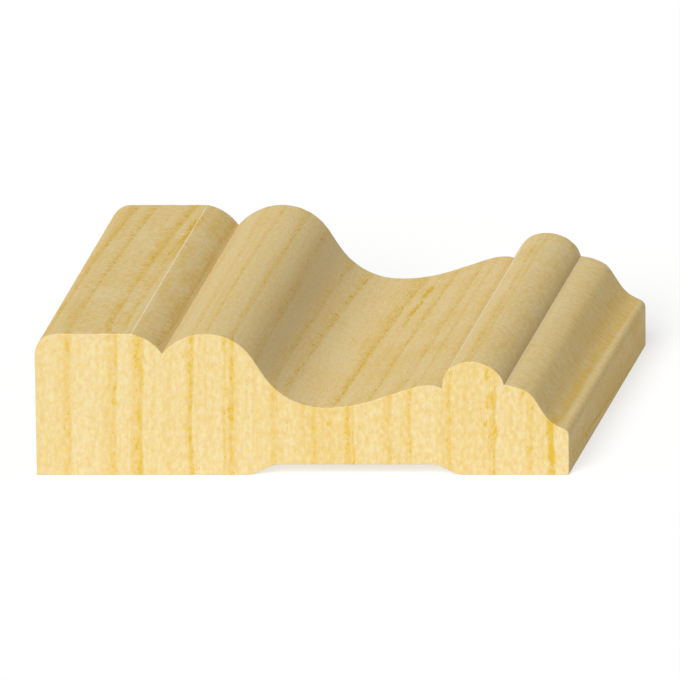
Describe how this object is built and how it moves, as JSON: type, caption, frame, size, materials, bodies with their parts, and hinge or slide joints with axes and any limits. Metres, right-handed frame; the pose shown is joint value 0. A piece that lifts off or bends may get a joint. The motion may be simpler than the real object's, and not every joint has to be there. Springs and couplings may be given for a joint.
{
  "type": "casing moulding",
  "caption": "Short length of wooden door or window casing with a flat band, quirked torus, deep cove, bead and ovolo, and a relieved back.",
  "frame": {"origin": "under the middle of the piece: middle of its width and length, in the plane of the two feet that lie against the wall", "axes": "+X across the width from the thick outer edge to the thin inner edge, +Y along the length, +Z from the back to the moulded face"},
  "size_m": [0.108, 0.06, 0.0285],
  "materials": {
    "bare_pine": "bare planed softwood, no paint or varnish"
  },
  "bodies": {
    "root": {"casing_moulding": "bare_pine"}
  },
  "joints": []
}
